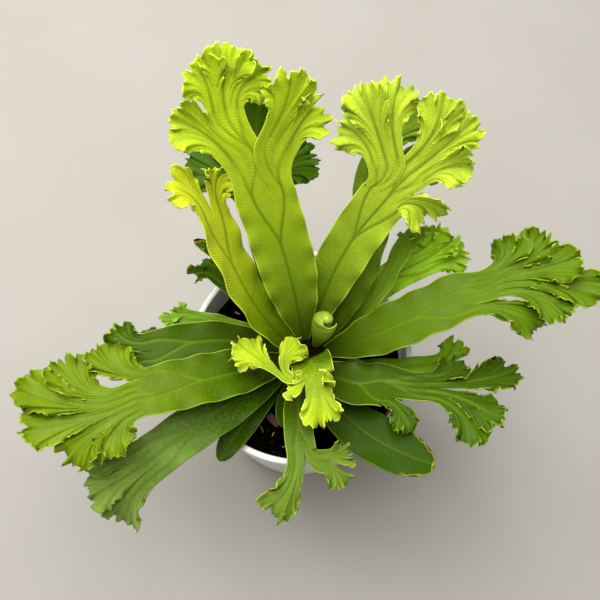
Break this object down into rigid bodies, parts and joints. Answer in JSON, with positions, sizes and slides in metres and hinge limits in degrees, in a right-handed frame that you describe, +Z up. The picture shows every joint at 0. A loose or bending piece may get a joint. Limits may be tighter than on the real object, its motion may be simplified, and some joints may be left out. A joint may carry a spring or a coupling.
{
  "type": "potted crested bird's nest fern",
  "caption": "Potted fern: a loose rosette of forked, ruffle-tipped strap fronds on a scaly crown, in dark potting mix, in a plain white round tapered pot.",
  "frame": {"origin": "centre of the pot's flat base", "axes": "+Z up along the pot's axis, +Y to the rear where the tallest fronds stand, +X to the right"},
  "size_m": [0.301, 0.2074, 0.2716],
  "materials": {
    "pot": "plain white satin glaze",
    "potting_mix": "moist, nearly black, crumbly peat and bark mix",
    "crown": "matte, dark reddish-brown papery scales",
    "bark": "dry tan bark",
    "leaf_newest": "satin, bright yellow-green, translucent",
    "leaf_young": "satin, yellow-green with a paler margin",
    "leaf_mature": "satin mid green with fine side veins",
    "leaf_old": "glossy dark green with a pale midrib"
  },
  "bodies": {
    "root": {"pot": "pot", "potting_mix": "potting_mix", "crown": "crown", "frond_tall": "leaf_young", "frond_upright_left": "leaf_young", "frond_upright_right": "leaf_young", "frond_newest": "leaf_newest", "frond_right": "leaf_mature", "frond_left": "leaf_mature", "frond_front_right": "leaf_mature", "frond_rear": "leaf_old", "frond_rear_right": "leaf_old", "frond_front_left": "leaf_old", "frond_front_blunt": "leaf_old", "frond_far_left": "leaf_mature", "frond_front": "leaf_mature", "frond_far_right": "leaf_mature", "frond_two_finger": "leaf_mature", "frond_short_rear": "leaf_old", "frond_low_front_left": "leaf_old", "frond_low_front": "leaf_old", "frond_low_rear_left": "leaf_old", "frond_low_pointed": "leaf_old", "frond_low_left": "leaf_mature", "frond_low_far_left": "leaf_old", "frond_low_right": "leaf_old", "frond_unfurling": "leaf_young", "bark_chip_1": "bark", "bark_chip_2": "bark", "bark_chip_3": "bark", "bark_chip_4": "bark", "bark_chip_5": "bark", "bark_chip_6": "bark"}
  },
  "joints": []
}
